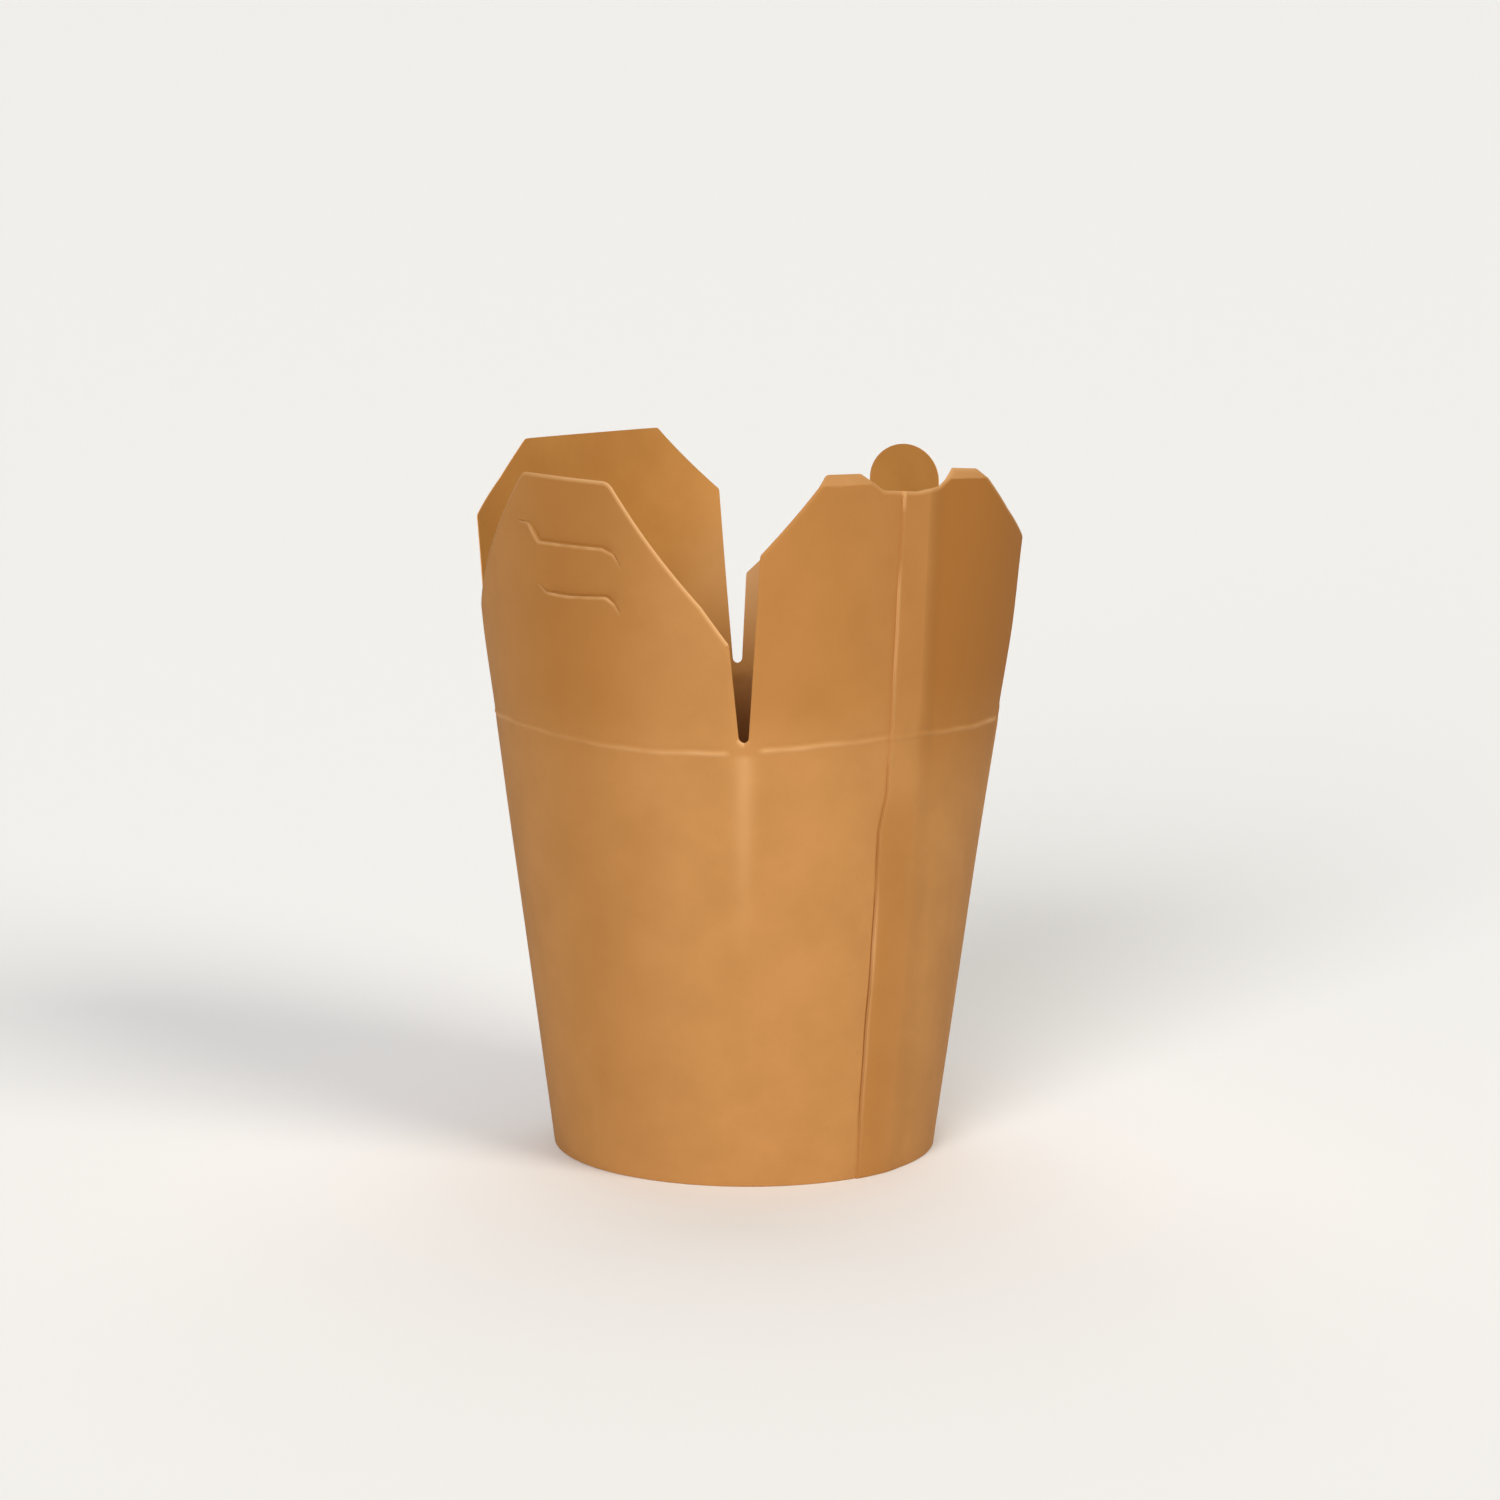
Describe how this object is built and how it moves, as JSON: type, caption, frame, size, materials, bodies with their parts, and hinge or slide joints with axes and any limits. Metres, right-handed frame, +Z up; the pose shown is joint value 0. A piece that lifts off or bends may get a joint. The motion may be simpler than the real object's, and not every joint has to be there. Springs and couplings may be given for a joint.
{
  "type": "noodle takeaway box",
  "caption": "Open kraft board noodle box: round recessed base, conical wall with a glued side seam, and fold-in top flaps, one slit to take another's round tongue.",
  "frame": {"origin": "middle of the round rim that the box stands on", "axes": "+Z up; -Y is the front, the panel whose flap has two bracket slits; +X is the right panel, which carries the glued side seam"},
  "size_m": [0.1081, 0.1108, 0.158],
  "materials": {
    "kraft_board": "matt, uncoated, faint fibre"
  },
  "bodies": {
    "cup": {"wall": "kraft_board", "base": "kraft_board"},
    "right_flap": {"flap_right": "kraft_board"},
    "back_flap": {"flap_back": "kraft_board"},
    "left_flap": {"flap_left": "kraft_board"},
    "front_flap": {"flap_front": "kraft_board"}
  },
  "joints": [
    {"name": "right_crease", "type": "hinge", "parent": "cup", "child": "right_flap", "pos_m": [0.03995, 0, 0.099], "axis": [0, -1, 0], "range_deg": [0, 95]},
    {"name": "left_crease", "type": "hinge", "parent": "cup", "child": "left_flap", "pos_m": [-0.0409, -0.001, 0.099], "axis": [-0.0244, 0.9997, 0], "range_deg": [0, 81]},
    {"name": "front_crease", "type": "hinge", "parent": "cup", "child": "front_flap", "pos_m": [0, -0.03995, 0.099], "axis": [-1, 0, 0], "range_deg": [0, 56]},
    {"name": "back_crease", "type": "hinge", "parent": "cup", "child": "back_flap", "pos_m": [-0.00095, 0.03895, 0.099], "axis": [0.9997, 0.0244, 0], "range_deg": [0, 54]}
  ]
}
